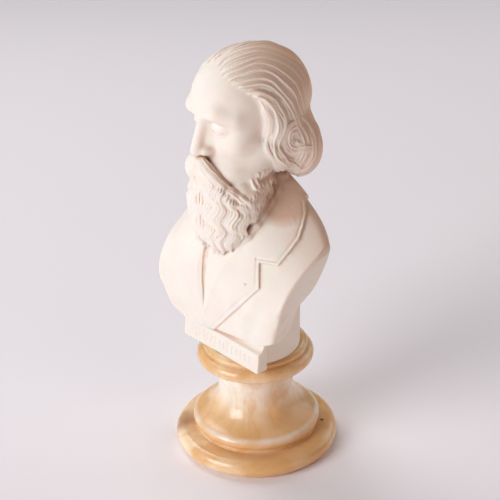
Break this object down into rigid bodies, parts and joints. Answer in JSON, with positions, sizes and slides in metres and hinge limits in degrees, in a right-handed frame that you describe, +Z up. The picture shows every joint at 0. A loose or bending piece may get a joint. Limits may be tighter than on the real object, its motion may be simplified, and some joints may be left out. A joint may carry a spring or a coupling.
{
  "type": "alabaster bust on a turned pedestal",
  "caption": "Small pale stone bust of a bearded man in a coat with lapels, with a plain name block, standing on a round turned pedestal of honey-coloured banded alabaster.",
  "frame": {"origin": "centre of the pedestal's flat underside", "axes": "+Z up along the pedestal's turning axis, -Y towards the front of the bust, +X towards the bust's own left side"},
  "size_m": [0.0916, 0.08, 0.1996],
  "materials": {
    "pale_alabaster": "matt, smoothed by hand, with a warm tint left in the hollows",
    "honey_alabaster": "turned and polished, with soft cloudy bands"
  },
  "bodies": {
    "root": {"bust": "pale_alabaster", "socle": "honey_alabaster"}
  },
  "joints": []
}
